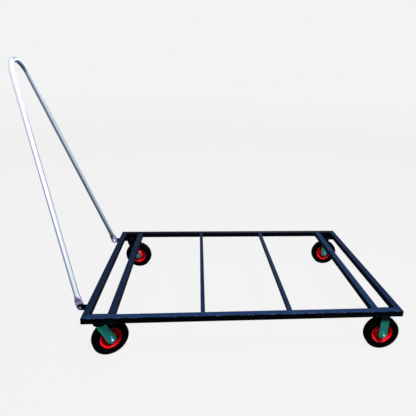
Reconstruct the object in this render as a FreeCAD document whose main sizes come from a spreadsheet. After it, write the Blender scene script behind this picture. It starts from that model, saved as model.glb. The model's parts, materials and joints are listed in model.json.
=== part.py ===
import FreeCAD, Part
import math
import os
import re
import Sketcher

# Folding platform cart: a low open frame of welded square tube on four casters, with a
# hairpin tow handle that folds about two bolts.  Millimetres, +Z up, floor at Z = 0.
# +X runs from the handle end (front) to the fixed-caster end (rear), and the left side,
# seen by whoever pulls the cart, is -Y.  The model is centred on its box in X and Y.

doc = FreeCAD.newDocument("platform_cart")
Vector = FreeCAD.Vector

# ------------------------------------------------------------------ driving dimensions
sizes = [
    ("platform_length", 1830, "frame, outer face to outer face along X"),
    ("platform_width", 1220, "frame, outer face to outer face along Y"),
    ("platform_height", 284, "top of the frame over the floor"),
    ("rail_size", 38, "square tube of the outer frame and the cross members"),
    ("rail_wall", 2, "wall of that tube"),
    ("rail_corner", 3, "outer corner radius of that tube"),
    ("end_bay", 136, "outer face of an end rail to the near face of its cross member"),
    ("bar_size", 25, "square tube of the two thin cross bars"),
    ("bar_wall", 1.5, "wall of the thin tube"),
    ("bar_corner", 2, "outer corner radius of the thin tube"),
    ("handle_reach", 1400, "pivot to the centreline at the top of the loop"),
    ("handle_lean", 15.8, "degrees from upright, outward, at rest"),
    ("handle_tube", 30, "diameter of the handle's round tube"),
    ("handle_wall", 2, "wall of the handle's tube"),
    ("loop_radius", 104, "centreline radius of the loop"),
    ("tab_offset", 467, "middle plane of the cart to the middle of a flattened tab"),
    ("tab_width", 46, "width of the flattened tube end"),
    ("tab_thick", 5, "thickness of the flattened tube end"),
    ("tab_end", 19, "pivot to the tip of the flattened end"),
    ("tab_top", 26, "pivot to where the flattened end starts to round out"),
    ("neck_top", 78, "pivot to where the tube is fully round"),
    ("pivot_reach", 38.4, "outer face of the end rail to the pivot"),
    ("ear_height", 36, "height of the pivot ears"),
    ("ear_thick", 6, "thickness of the pivot ears"),
    ("pivot_bolt", 10, "shank diameter of the pivot bolts"),
    ("pivot_head", 17, "pivot bolt's head and nut across flats"),
    ("pivot_head_height", 6.4, "height of the pivot bolt's head"),
    ("pivot_nut_height", 8, "height of the pivot nut"),
    ("pivot_tail", 3, "thread past the pivot nut"),
    ("washer_radius", 10.5, "outer radius of the pivot washers"),
    ("washer_thick", 2, "thickness of the pivot washers"),
    ("caster_setback", 87, "outer face of an end rail to the middle of a caster plate"),
    ("plate_length", 137, "caster plate along X"),
    ("plate_width", 88, "caster plate along Y"),
    ("plate_thick", 6, "caster plate thickness"),
    ("plate_corner", 8, "corner radius of the caster plate"),
    ("plate_inset", 10, "side rail's outer face to the plate's outer edge"),
    ("slot_margin", 16, "plate's end to the middle of its bolt slots"),
    ("slot_edge", 14, "plate's side to the middle of its bolt slots"),
    ("slot_width", 11, "width of the bolt slots"),
    ("slot_length", 9, "straight length of the bolt slots"),
    ("wheel_radius", 105, "tyre tread radius"),
    ("tyre_width", 50, "tyre width"),
    ("tyre_shoulder", 8, "bevel of the tyre's shoulders"),
    ("tyre_foot", 3, "rise over which the tyre's wall leaves the flange"),
    ("flange_radius", 64, "outer radius of the rim flanges"),
    ("flange_half", 19, "wheel's middle plane to the outer face of a flange"),
    ("seat_radius", 53, "radius of the rim's tyre seat"),
    ("channel_radius", 40, "inner radius of the rim's flat channel"),
    ("dome_radius", 30, "radius of the hub dome's shoulder"),
    ("dome_half", 15, "wheel's middle plane to the dome's shoulder"),
    ("rim_sheet", 2.5, "sheet thickness of the pressed rims"),
    ("hub_radius", 15, "outer radius of the hub tube"),
    ("hub_length", 52, "length of the hub tube"),
    ("bearing_width", 14, "width of each wheel bearing"),
    ("bearing_radius", 12.5, "outer radius of the wheel bearings"),
    ("sleeve_radius", 8, "outer radius of the axle sleeve"),
    ("axle_bolt", 12, "shank diameter of the axle bolts"),
    ("axle_head", 19, "axle bolt's head and nut across flats"),
    ("axle_head_height", 7.5, "height of the axle bolt's head"),
    ("axle_nut_height", 10, "height of the axle nut"),
    ("axle_tail", 4, "thread past the axle nut"),
    ("fork_gap", 56, "clear width between the fork's legs"),
    ("fork_sheet", 4, "sheet thickness of the forks"),
    ("fork_leg", 52, "width of a fork leg's round lower end"),
    ("crown_length", 54, "length of a swivel fork's crown along the rolling direction"),
    ("fork_bend", 6, "outer radius of the bend between crown and legs"),
    ("swivel_trail", 51, "swivel axis to the axle, seen from above"),
    ("left_yaw", 28.7, "degrees that the left swivel fork stands turned at rest"),
    ("right_yaw", -9.9, "degrees that the right swivel fork stands turned at rest"),
    ("race_radius", 39, "outer radius of the pressed cup that houses the swivel race"),
    ("race_height", 24, "height of that cup"),
    ("race_sheet", 3, "sheet thickness of that cup"),
    ("ball_size", 11, "diameter of the balls"),
    ("ball_gap", 1.2, "least gap between two balls"),
    ("ball_circle", 24, "radius of the circle of ball centres"),
    ("kingpin_radius", 8, "shank radius of the kingpin"),
    ("kingpin_head", 12, "radius of the kingpin's riveted heads"),
    ("kingpin_head_height", 5, "height of the kingpin's lower head"),
    ("turning_gap", 0.05, "radial clearance of every turning fit"),
    ("side_gap", 0.3, "gap beside a face that turns"),
    ("cut_past", 1, "how far a cut runs past the face that it leaves"),
]
sheet = doc.addObject("Spreadsheet::Sheet", "Sizes")
for row, (alias, number, note) in enumerate(sizes, start=1):
    sheet.set("A%d" % row, alias)
    sheet.set("B%d" % row, str(number))
    sheet.set("C%d" % row, note)
    sheet.setAlias("B%d" % row, alias)

# ------------------------------------------------------------------- places worked out
places = [
    ("rail_under", "platform_height - rail_size"),
    ("rail_middle", "platform_height - rail_size / 2"),
    ("side_line", "(platform_width - rail_size) / 2"),
    ("end_line", "(platform_length - rail_size) / 2"),
    ("cross_line", "platform_length / 2 - end_bay - rail_size / 2"),
    ("bar_bay", "(platform_length - 2 * end_bay - 2 * rail_size - 2 * bar_size) / 3"),
    ("bar_line", "(bar_bay + bar_size) / 2"),
    ("inner_width", "platform_width - 2 * rail_size"),
    ("caster_line", "platform_length / 2 - caster_setback"),
    ("caster_side", "platform_width / 2 - plate_inset - plate_width / 2"),
    ("pivot_line", "platform_length / 2 + pivot_reach"),
    ("box_front", "pivot_line + handle_reach * sin(handle_lean) + handle_tube / 2"),
    ("box_rear", "max(platform_length / 2; caster_line + wheel_radius)"),
    ("shift", "(box_front - box_rear) / 2"),
    ("plate_under", "rail_under - plate_thick"),
    ("ball_count", "floor(180 deg / asin((ball_size + ball_gap) / (2 * ball_circle)))"),
    ("crown_top", "plate_under - race_height - side_gap"),
    ("fork_half", "fork_gap / 2 + fork_sheet"),
    ("ear_inner", "tab_offset + tab_thick / 2 + side_gap"),
    ("ear_outer", "ear_inner + ear_thick"),
    ("tab_inner", "tab_offset - tab_thick / 2"),
]
derived = doc.addObject("App::VarSet", "Places")
sheet_names = set(alias for alias, number, note in sizes)
place_names = set()


def formula(words):
    """Point each plain name in a formula at its cell in the sheet or at its worked-out place."""
    def owner(match):
        word = match.group(0)
        if word in sheet_names:
            return "Sizes." + word
        if word in place_names:
            return "Places." + word
        return word
    return re.sub(r"[a-z]\w*", owner, str(words))


for place, words in places:
    derived.addProperty("App::PropertyFloat", place, "Places")
    derived.setExpression(place, formula(words))
    place_names.add(place)
doc.recompute()


def bind(thing, **formulas):
    """Bind properties of an object to formulas in the sheet's words."""
    for prop, words in formulas.items():
        thing.setExpression(prop, formula(words))


def put(thing, x=0, y=0, z=0, turn_axis=None, turn=0):
    """Bind an object's Placement: a turn about one axis, then a shift to x, y, z."""
    axis = Vector(*turn_axis) if turn_axis else Vector(0, 0, 1)
    start = turn if isinstance(turn, (int, float)) else 1
    thing.Placement = FreeCAD.Placement(Vector(), FreeCAD.Rotation(axis, start))
    thing.setExpression("Placement.Base.x", formula(x))
    thing.setExpression("Placement.Base.y", formula(y))
    thing.setExpression("Placement.Base.z", formula(z))
    if start != turn:
        thing.setExpression("Placement.Rotation.Angle", formula(turn))


nodes = []


def keep(thing, label):
    """Name a finished sub-part; its label is its node and its file."""
    thing.Label = label
    nodes.append(thing)
    return thing


# --------------------------------------------------------------------- small modelling
near = 1e-4  # lengths and directions closer than this count as the same


def new_sketch(body, plane_role):
    """Make an empty sketch on one of a body's own origin planes."""
    sketch = body.newObject("Sketcher::SketchObject", "Sketch")
    plane = [f for f in body.Origin.OriginFeatures if f.Role == plane_role][0]
    sketch.AttachmentSupport = [(plane, "")]
    sketch.MapMode = "FlatFace"
    return sketch


def draw_outline(sketch, points):
    """Draw a closed outline of straight edges, each corner bound to its x and y formulas."""
    first = sketch.GeometryCount
    count = len(points)
    ring = [Vector(math.cos(2 * math.pi * i / count), math.sin(2 * math.pi * i / count), 0)
            for i in range(count)]
    for i in range(count):
        sketch.addGeometry(Part.LineSegment(ring[i], ring[(i + 1) % count]), False)
    for i in range(count):
        sketch.addConstraint(Sketcher.Constraint("Coincident", first + i, 2, first + (i + 1) % count, 1))
    for i, (x, y) in enumerate(points):
        across = sketch.addConstraint(Sketcher.Constraint("DistanceX", -1, 1, first + i, 1, ring[i].x))
        sketch.setExpression("Constraints[%d]" % across, formula(x))
        up = sketch.addConstraint(Sketcher.Constraint("DistanceY", -1, 1, first + i, 1, ring[i].y))
        sketch.setExpression("Constraints[%d]" % up, formula(y))


def draw_square(sketch, side):
    """Draw a square centred on the sketch's origin."""
    half = "(%s) / 2" % side
    draw_outline(sketch, [("-" + half, "-" + half), (half, "-" + half), (half, half), ("-" + half, half)])


def draw_circle(sketch, x, y, radius):
    """Draw a circle with its centre and radius bound."""
    index = sketch.addGeometry(Part.Circle(Vector(1, 1, 0), Vector(0, 0, 1), 1), False)
    size = sketch.addConstraint(Sketcher.Constraint("Radius", index, 1))
    sketch.setExpression("Constraints[%d]" % size, formula(radius))
    across = sketch.addConstraint(Sketcher.Constraint("DistanceX", -1, 1, index, 3, 1))
    sketch.setExpression("Constraints[%d]" % across, formula(x))
    up = sketch.addConstraint(Sketcher.Constraint("DistanceY", -1, 1, index, 3, 1))
    sketch.setExpression("Constraints[%d]" % up, formula(y))


def pad_both_ways(body, sketch, width):
    """Pad a sketch by a bound width, half to each side of its plane."""
    pad = body.newObject("PartDesign::Pad", "Pad")
    pad.Profile = sketch
    pad.SideType = "Symmetric"
    bind(pad, Length=width)
    doc.recompute()
    return pad


def pocket_both_ways(body, sketch, width):
    """Pocket a sketch by a bound width, half to each side, and make sure that it cuts."""
    before = body.Shape.Volume
    pocket = body.newObject("PartDesign::Pocket", "Pocket")
    pocket.Profile = sketch
    pocket.SideType = "Symmetric"
    bind(pocket, Length=width)
    doc.recompute()
    if body.Shape.Volume >= before:
        raise ValueError("a pocket of %s cuts nothing" % body.Name)
    return pocket


def revolve(body, sketch):
    """Turn a sketch about its own vertical axis."""
    turned = body.newObject("PartDesign::Revolution", "Revolution")
    turned.Profile = sketch
    turned.ReferenceAxis = (sketch, ["V_Axis"])
    turned.Angle = 360
    doc.recompute()
    return turned


def long_edges(shape, direction, length):
    """Names of the straight edges that run along a direction with a given length."""
    found = []
    for i, edge in enumerate(shape.Edges, start=1):
        ends = [v.Point for v in edge.Vertexes]
        if len(ends) == 2 and abs(edge.Length - length) < near:
            if abs(abs((ends[1] - ends[0]).normalize().dot(direction)) - 1) < near:
                found.append("Edge%d" % i)
    return found


def round_edges(body, feature, edges, radius):
    """Fillet named edges of a body's last feature."""
    fillet = body.newObject("PartDesign::Fillet", "Fillet")
    fillet.Base = (feature, edges)
    bind(fillet, Radius=radius)
    doc.recompute()
    return fillet


def cylinder(radius, height, x=0, y=0, z=0, along=None):
    """A Part cylinder with bound sizes, upright or lying along +Y."""
    piece = doc.addObject("Part::Cylinder", "Cylinder")
    bind(piece, Radius=radius, Height=height)
    if along == "y":
        put(piece, x, y, z, (1, 0, 0), -90)
    else:
        put(piece, x, y, z)
    return piece


def hexagon(flats, height, x=0, y=0, z=0):
    """A hexagonal prism lying along +Y, with its size across flats bound."""
    piece = doc.addObject("Part::Prism", "Hexagon")
    piece.Polygon = 6
    bind(piece, Circumradius="(%s) / sqrt(3)" % flats, Height=height)
    put(piece, x, y, z, (1, 0, 0), -90)
    return piece


def combine(kind, *pieces):
    """Fuse pieces into one solid, or cut the later pieces from the first."""
    result = doc.addObject(kind, "Shape")
    if kind == "Part::MultiFuse":
        result.Shapes = list(pieces)
    else:
        result.Base = pieces[0]
        result.Tool = pieces[1]
    return result


def group(pieces):
    """Hold like pieces together in one node as separate solids."""
    result = doc.addObject("Part::Compound", "Group")
    result.Links = pieces
    return result


# --------------------------------------------------------------------- platform frame
def square_tube(label, length, side, wall, corner, mitred):
    """A square tube along X with rounded corners, its ends square or mitred towards -Y."""
    body = doc.addObject("PartDesign::Body", label)
    profile = new_sketch(body, "YZ_Plane")
    draw_square(profile, side)
    pad = pad_both_ways(body, profile, length)
    edges = long_edges(pad.Shape, Vector(1, 0, 0), pad.Length.Value)
    round_edges(body, pad, edges, corner)
    bore = new_sketch(body, "YZ_Plane")
    draw_square(bore, "%s - 2 * %s" % (side, wall))
    pocket_both_ways(body, bore, "%s + 2 * cut_past" % length)
    if mitred:
        for end in ("", "-"):
            outer = "%s((%s) / 2 + cut_past)" % (end, length)
            inner = "%s((%s) / 2 - %s - cut_past)" % (end, length, side)
            far = "(%s) / 2 + cut_past" % side
            mitre = new_sketch(body, "XY_Plane")
            draw_outline(mitre, [(outer, "-(%s)" % far), (outer, far), (inner, far)])
            pocket_both_ways(body, mitre, "2 * %s" % side)
    return keep(body, label)


def place_rails():
    """Weld the frame: mitred outer rails, two cross members and two thin cross bars."""
    rail = ("rail_size", "rail_wall", "rail_corner")
    bar = ("bar_size", "bar_wall", "bar_corner")
    for name, sign, turn in (("left", "-", 0), ("right", "", 180)):
        tube = square_tube("side_rail_" + name, "platform_length", *rail, True)
        put(tube, "shift", sign + "side_line", "rail_middle", (0, 0, 1), turn)
    for name, sign, turn in (("front", "-", -90), ("rear", "", 90)):
        tube = square_tube("end_rail_" + name, "platform_width", *rail, True)
        put(tube, "shift %s end_line" % (sign or "+"), 0, "rail_middle", (0, 0, 1), turn)
        tube = square_tube("cross_member_" + name, "inner_width", *rail, False)
        put(tube, "shift %s cross_line" % (sign or "+"), 0, "rail_middle", (0, 0, 1), 90)
        tube = square_tube("cross_bar_" + name, "inner_width", *bar, False)
        bar_middle = "platform_height - bar_size / 2"
        put(tube, "shift %s bar_line" % (sign or "+"), 0, bar_middle, (0, 0, 1), 90)


# ------------------------------------------------------------------------- tow handle
def handle_ear(label, sign):
    """A flat ear welded to the end rail's face, rounded about the pivot and bored for it."""
    body = doc.addObject("PartDesign::Body", label)
    plate = new_sketch(body, "XZ_Plane")
    half = "ear_height / 2"
    draw_outline(plate, [("0", "-" + half), ("pivot_reach", "-" + half), ("pivot_reach", half), ("0", half)])
    pad_both_ways(body, plate, "ear_thick")
    nose = new_sketch(body, "XZ_Plane")
    draw_circle(nose, 0, 0, half)
    pad_both_ways(body, nose, "ear_thick")
    hole = new_sketch(body, "XZ_Plane")
    draw_circle(hole, 0, 0, "pivot_bolt / 2 + turning_gap")
    pocket_both_ways(body, hole, "2 * ear_thick")
    put(body, "shift - pivot_line", "%s(ear_inner + ear_thick / 2)" % sign, "rail_middle")
    return keep(body, label)


def flat_section(width, thick, height, middle):
    """A closed slot-shaped wire across the tube at a height, its middle at a given Y."""
    corner = thick / 2
    side = width / 2 - corner
    low = Vector(-side, middle - corner, height)
    high = Vector(side, middle - corner, height)
    low_out = Vector(-side, middle + corner, height)
    high_out = Vector(side, middle + corner, height)
    right = Part.Arc(high, Vector(side + corner, middle, height), high_out)
    left = Part.Arc(low_out, Vector(-side - corner, middle, height), low)
    edges = [Part.LineSegment(low, high), right, Part.LineSegment(high_out, low_out), left]
    return Part.Wire([edge.toShape() for edge in edges])


def handle_tube():
    """One bent tube: a loop, two straight legs, and ends pressed flat and bored.

    It is drawn upright with the pivots on the Y axis.  Each leg leaves its tab at the
    neck and runs tangent to the loop's circle, whose top is at the handle's reach.
    """
    reach = sheet.handle_reach
    bend = sheet.loop_radius
    radius = sheet.handle_tube / 2
    offset = sheet.tab_offset
    tab_top = sheet.tab_top
    neck = sheet.neck_top
    centre = reach - bend
    slant = math.atan2(offset, centre - tab_top) - math.asin(bend / math.hypot(offset, centre - tab_top))
    foot_y = offset - (neck - tab_top) * math.tan(slant)
    touch_y = bend * math.cos(slant)
    touch_z = centre + bend * math.sin(slant)
    feet = [Vector(0, sign * foot_y, neck) for sign in (-1, 1)]
    touches = [Vector(0, sign * touch_y, touch_z) for sign in (-1, 1)]
    line_in = Part.LineSegment(feet[0], touches[0]).toShape()
    loop = Part.Arc(touches[0], Vector(0, 0, reach), touches[1]).toShape()
    line_out = Part.LineSegment(touches[1], feet[1]).toShape()
    path = Part.Wire([line_in, loop, line_out])
    along = touches[0] - feet[0]
    tube = None
    for size, sign in ((radius, 1), (radius - sheet.handle_wall, -1)):
        ring = Part.Wire(Part.Circle(feet[0], along, size).toShape())
        swept = path.makePipeShell([ring], True, True)
        tube = swept if tube is None else tube.cut(swept)
    for sign in (-1, 1):
        tab = flat_section(sheet.tab_width, sheet.tab_thick, tab_top, sign * offset)
        ring = Part.Wire(Part.Circle(Vector(0, sign * foot_y, neck), Vector(0, -sign * math.sin(slant),
                                     math.cos(slant)), radius).toShape())
        tube = tube.fuse(Part.makeLoft([tab, ring], True, True))
        half = sheet.tab_width / 2
        low = half - sheet.tab_end
        face_y = sign * offset - sheet.tab_thick / 2
        block = Part.makeBox(2 * half, sheet.tab_thick, tab_top - low, Vector(-half, face_y, low))
        nose = Part.makeCylinder(half, sheet.tab_thick, Vector(0, face_y, low), Vector(0, 1, 0))
        hole = Part.makeCylinder(sheet.pivot_bolt / 2 + sheet.turning_gap, 2 * sheet.tab_thick,
                                 Vector(0, sign * offset - sheet.tab_thick, 0), Vector(0, 1, 0))
        tube = tube.fuse(block).fuse(nose).cut(hole)
    piece = doc.addObject("Part::Feature", "handle_tube")
    piece.Shape = tube.removeSplitter()
    put(piece, "shift - pivot_line", 0, "rail_middle", (0, 1, 0), "-handle_lean")
    return keep(piece, "handle_tube")


def pivot_hardware():
    """Each ear's bolt, with its head outside, and the washer and nut inside the leg."""
    bolts = []
    washers = []
    nuts = []
    washer_face = "tab_inner - side_gap"
    nut_face = "%s - washer_thick" % washer_face
    tail = "%s - pivot_nut_height - pivot_tail" % nut_face
    bore = "pivot_bolt / 2 + turning_gap"
    for sign, turn in (("-", 180), ("", 0)):
        head = hexagon("pivot_head", "pivot_head_height", 0, "ear_outer")
        shank = cylinder("pivot_bolt / 2", "ear_outer - (%s)" % tail, 0, tail, 0, "y")
        bolt = combine("Part::MultiFuse", head, shank)
        ring = cylinder("washer_radius", "washer_thick", 0, nut_face, 0, "y")
        ring_bore = cylinder(bore, "washer_thick", 0, nut_face, 0, "y")
        washer = combine("Part::Cut", ring, ring_bore)
        block = hexagon("pivot_head", "pivot_nut_height", 0, "%s - pivot_nut_height" % nut_face)
        thread = cylinder("pivot_bolt / 2", "pivot_nut_height", 0, "%s - pivot_nut_height" % nut_face, 0, "y")
        nut = combine("Part::Cut", block, thread)
        for piece, pile in ((bolt, bolts), (washer, washers), (nut, nuts)):
            put(piece, "shift - pivot_line", 0, "rail_middle", (0, 0, 1), turn)
            pile.append(piece)
    keep(group(bolts), "pivot_bolts")
    keep(group(washers), "pivot_washers")
    keep(group(nuts), "pivot_nuts")


# --------------------------------------------------------------------------- casters
def caster_plate(label, x, y, bored):
    """A rectangular top plate with rounded corners and four open bolt slots."""
    body = doc.addObject("PartDesign::Body", label)
    outline = new_sketch(body, "XY_Plane")
    length = "plate_length / 2"
    width = "plate_width / 2"
    draw_outline(outline, [("-" + length, "-" + width), (length, "-" + width), (length, width),
                           ("-" + length, width)])
    pad = pad_both_ways(body, outline, "plate_thick")
    edges = long_edges(pad.Shape, Vector(0, 0, 1), pad.Length.Value)
    round_edges(body, pad, edges, "plate_corner")
    for left in ("-", ""):
        for back in ("-", ""):
            middle = "%s(plate_length / 2 - slot_margin)" % left
            across = "%s(plate_width / 2 - slot_edge)" % back
            slot = new_sketch(body, "XY_Plane")
            low = "%s - slot_length / 2" % middle
            high = "%s + slot_length / 2" % middle
            near_side = "%s - slot_width / 2" % across
            far_side = "%s + slot_width / 2" % across
            draw_outline(slot, [(low, near_side), (high, near_side), (high, far_side), (low, far_side)])
            pocket_both_ways(body, slot, "2 * plate_thick")
            for end in (low, high):
                round_end = new_sketch(body, "XY_Plane")
                draw_circle(round_end, end, across, "slot_width / 2")
                pocket_both_ways(body, round_end, "2 * plate_thick")
    if bored:
        hole = new_sketch(body, "XY_Plane")
        draw_circle(hole, 0, 0, "kingpin_radius + turning_gap")
        pocket_both_ways(body, hole, "2 * plate_thick")
    put(body, x, y, "plate_under + plate_thick / 2")
    return keep(body, label)


def fork(label, crown_top, crown_half, trail, bored):
    """A pressed U: a flat crown, and two legs that run to round ends about the axle.

    It is drawn with the swivel axis, or the wheel's own upright, on Z at X = 0 and with
    the axle at X = trail.  The legs stand across Y.
    """
    body = doc.addObject("PartDesign::Body", label)
    rise = "(%s - wheel_radius)" % crown_top
    lean = "atan2(%s; %s)" % (trail, rise)
    side = new_sketch(body, "XZ_Plane")
    toe_x = "%s + fork_leg / 2 * cos(%s)" % (trail, lean)
    toe_z = "wheel_radius + fork_leg / 2 * sin(%s)" % lean
    heel_x = "%s - fork_leg / 2 * cos(%s)" % (trail, lean)
    heel_z = "wheel_radius - fork_leg / 2 * sin(%s)" % lean
    shoulder = "%s - fork_bend - fork_sheet" % crown_top
    draw_outline(side, [("-(%s)" % crown_half, crown_top), ("-(%s)" % crown_half, shoulder), (heel_x, heel_z),
                        (toe_x, toe_z), (crown_half, shoulder), (crown_half, crown_top)])
    pad = pad_both_ways(body, side, "2 * fork_half")
    top = pad.Shape.BoundBox.ZMax
    ridges = [i for i, edge in enumerate(pad.Shape.Edges, start=1)
              if edge.BoundBox.ZMin > top - near and edge.BoundBox.YLength < near]
    round_edges(body, pad, ["Edge%d" % i for i in ridges], "fork_bend")
    end = new_sketch(body, "XZ_Plane")
    draw_circle(end, trail, "wheel_radius", "fork_leg / 2")
    pad_both_ways(body, end, "2 * fork_half")
    gap = new_sketch(body, "XZ_Plane")
    ceiling = "%s - fork_sheet" % crown_top
    reach = "%s + crown_length" % trail
    draw_outline(gap, [("-(%s)" % reach, "0"), (reach, "0"), (reach, ceiling), ("-(%s)" % reach, ceiling)])
    pocket_both_ways(body, gap, "fork_gap")
    axle = new_sketch(body, "XZ_Plane")
    draw_circle(axle, trail, "wheel_radius", "axle_bolt / 2 + turning_gap")
    pocket_both_ways(body, axle, "4 * fork_half")
    if bored:
        hole = new_sketch(body, "XY_Plane")
        draw_circle(hole, 0, 0, "kingpin_radius + turning_gap")
        pocket_both_ways(body, hole, "2 * (%s) + 2 * cut_past" % crown_top)
    return keep(body, label)


def ball_race(label, x, y):
    """The pressed cup under the plate that houses the swivel race, open towards the fork."""
    body = doc.addObject("PartDesign::Body", label)
    wall = new_sketch(body, "XZ_Plane")
    inner = "race_radius - race_sheet"
    roof = "race_height - race_sheet"
    bore = "kingpin_radius + turning_gap"
    draw_outline(wall, [(bore, "race_height"), (inner, "race_height"), ("race_radius", roof),
                        ("race_radius", "0"), (inner, "0"), (inner, roof), (bore, roof)])
    revolve(body, wall)
    put(body, x, y, "plate_under - race_height")
    return keep(body, label)


def race_ring(label, x, y):
    """The hardened ring pressed up into the cup, whose flat underside the balls run on."""
    body = doc.addObject("PartDesign::Body", label)
    section = new_sketch(body, "XZ_Plane")
    inner = "kingpin_radius + turning_gap"
    outer = "race_radius - race_sheet"
    roof = "race_height - race_sheet"
    draw_outline(section, [(inner, "ball_size"), (outer, "ball_size"), (outer, roof), (inner, roof)])
    revolve(body, section)
    put(body, x, y, "plate_under - race_height")
    return keep(body, label)


def ball_set(label, x, y):
    """The loose balls in a race, running on the fork's crown."""
    balls = []
    for i in range(round(derived.ball_count)):
        ball = doc.addObject("Part::Sphere", "Ball")
        bind(ball, Radius="ball_size / 2")
        angle = "%d * 360 / ball_count" % i
        ball.setExpression("Placement.Base.x", formula("ball_circle * cos(%s)" % angle))
        ball.setExpression("Placement.Base.y", formula("ball_circle * sin(%s)" % angle))
        balls.append(ball)
    piece = group(balls)
    put(piece, x, y, "crown_top + side_gap + ball_size / 2")
    return keep(piece, label)


def kingpin(label, x, y):
    """The riveted pin that hangs the swivel fork under its plate."""
    under = "crown_top - fork_sheet - side_gap"
    shank = cylinder("kingpin_radius", "plate_under + plate_thick - (%s)" % under, 0, 0, under)
    head = cylinder("kingpin_head", "kingpin_head_height", 0, 0, "%s - kingpin_head_height" % under)
    piece = combine("Part::MultiFuse", shank, head)
    put(piece, x, y, 0)
    return keep(piece, label)


# ---------------------------------------------------------------------- wheels, axles
def turned_ring(label, outline):
    """A ring turned about the wheel's Y axis from an outline of radius and Y."""
    body = doc.addObject("PartDesign::Body", label)
    section = new_sketch(body, "XY_Plane")
    draw_outline(section, outline)
    revolve(body, section)
    return keep(body, label)


def tyre(label):
    """A solid rubber tyre seated between the rim flanges."""
    half = "tyre_width / 2"
    tread = "(tyre_width / 2 - tyre_shoulder)"
    edge = "wheel_radius - tyre_shoulder"
    bead = "(flange_half - rim_sheet)"
    lip = "flange_radius"
    foot = "flange_radius + tyre_foot"
    return turned_ring(label, [
        ("wheel_radius", "-" + tread), ("wheel_radius", tread), (edge, half), (foot, half),
        (lip, "flange_half"), (lip, bead), ("seat_radius", bead), ("seat_radius", "-" + bead),
        (lip, "-" + bead), (lip, "-flange_half"), (foot, "-(%s)" % half), (edge, "-(%s)" % half)])


def rim_half(label, side):
    """One pressed half of the rim: hub dome, flat channel, tyre seat and flange."""
    dome = "dome_half"
    skin = "rim_sheet"
    wall = "seat_radius - rim_sheet"
    outline = [("hub_radius", "dome_half + rim_sheet"), ("dome_radius", dome), ("channel_radius", skin),
               (wall, skin), (wall, "flange_half"), ("flange_radius", "flange_half"),
               ("flange_radius", "flange_half - rim_sheet"), ("seat_radius", "flange_half - rim_sheet"),
               ("seat_radius", "0"), ("channel_radius - rim_sheet", "0"),
               ("dome_radius - rim_sheet", "dome_half - rim_sheet"), ("hub_radius", dome)]
    return turned_ring(label, [(radius, "%s(%s)" % (side, y)) for radius, y in outline])


def hub_tube(label):
    """The hub tube welded through both rim halves."""
    half = "hub_length / 2"
    return turned_ring(label, [("bearing_radius", "-(%s)" % half), ("hub_radius", "-(%s)" % half),
                               ("hub_radius", half), ("bearing_radius", half)])


def bearing_pair(label):
    """The two roller bearings pressed into the ends of the hub tube."""
    rings = []
    for start in ("hub_length / 2 - bearing_width", "-hub_length / 2"):
        outer = cylinder("bearing_radius", "bearing_width", 0, start, 0, "y")
        inner = cylinder("sleeve_radius + turning_gap", "bearing_width", 0, start, 0, "y")
        rings.append(combine("Part::Cut", outer, inner))
    return keep(group(rings), label)


def axle_sleeve():
    """The steel sleeve clamped between the fork's legs, on which the wheel turns."""
    outer = cylinder("sleeve_radius", "fork_gap", 0, "-fork_gap / 2", 0, "y")
    inner = cylinder("axle_bolt / 2 + turning_gap", "fork_gap", 0, "-fork_gap / 2", 0, "y")
    return combine("Part::Cut", outer, inner)


def axle_bolt():
    """The axle bolt, its head on the inner side and its thread out to the nut's tail."""
    head = hexagon("axle_head", "axle_head_height", 0, "fork_half")
    length = "2 * fork_half + axle_nut_height + axle_tail"
    shank = cylinder("axle_bolt / 2", length, 0, "fork_half - (%s)" % length, 0, "y")
    return combine("Part::MultiFuse", head, shank)


def axle_nut():
    """The axle nut against the fork's outer leg."""
    block = hexagon("axle_head", "axle_nut_height", 0, "-fork_half - axle_nut_height")
    thread = cylinder("axle_bolt / 2", "axle_nut_height", 0, "-fork_half - axle_nut_height", 0, "y")
    return combine("Part::Cut", block, thread)


def build_casters():
    """All four casters: two that swivel under the handle end, two fixed at the rear."""
    rear_x = "shift + caster_line"
    front_x = "shift - caster_line"
    for name, sign in (("left", "-"), ("right", "")):
        side = sign + "caster_side"
        yaw = name + "_yaw"
        caster_plate("swivel_plate_" + name, front_x, side, True)
        ball_race("ball_race_" + name, front_x, side)
        race_ring("race_ring_" + name, front_x, side)
        ball_set("race_balls_" + name, front_x, side)
        kingpin("kingpin_" + name, front_x, side)
        legs = fork("swivel_fork_" + name, "crown_top", "crown_length / 2", "swivel_trail", True)
        put(legs, front_x, side, 0, (0, 0, 1), yaw)
        caster_plate("fixed_plate_" + name, rear_x, side, False)
        legs = fork("fixed_fork_" + name, "plate_under", "fork_leg / 2", "0", False)
        put(legs, rear_x, side, 0)
        front_wheel_x = "%s + swivel_trail * cos(%s)" % (front_x, yaw)
        front_wheel_y = "%s + swivel_trail * sin(%s)" % (side, yaw)
        facing = "%s + %d" % (yaw, 0 if sign else 180)
        spots = (("front_" + name, front_wheel_x, front_wheel_y, facing),
                 ("rear_" + name, rear_x, side, 0 if sign else 180))
        for spot, x, y, turn in spots:
            for piece in (tyre("tyre_" + spot), rim_half("rim_outer_" + spot, "-"),
                          rim_half("rim_inner_" + spot, ""), hub_tube("hub_tube_" + spot),
                          bearing_pair("wheel_bearings_" + spot), keep(axle_sleeve(), "axle_sleeve_" + spot)):
                put(piece, x, y, "wheel_radius", (0, 0, 1), turn)
    for name, maker in (("axle_bolt", axle_bolt), ("axle_nut", axle_nut)):
        rear = []
        for side_name, sign in (("left", "-"), ("right", "")):
            side = sign + "caster_side"
            yaw = side_name + "_yaw"
            piece = keep(maker(), "%s_front_%s" % (name, side_name))
            put(piece, "%s + swivel_trail * cos(%s)" % (front_x, yaw),
                "%s + swivel_trail * sin(%s)" % (side, yaw), "wheel_radius", (0, 0, 1),
                "%s + %d" % (yaw, 0 if sign else 180))
            piece = maker()
            put(piece, rear_x, side, "wheel_radius", (0, 0, 1), 0 if sign else 180)
            rear.append(piece)
        keep(group(rear), name + "s_rear")


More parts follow.
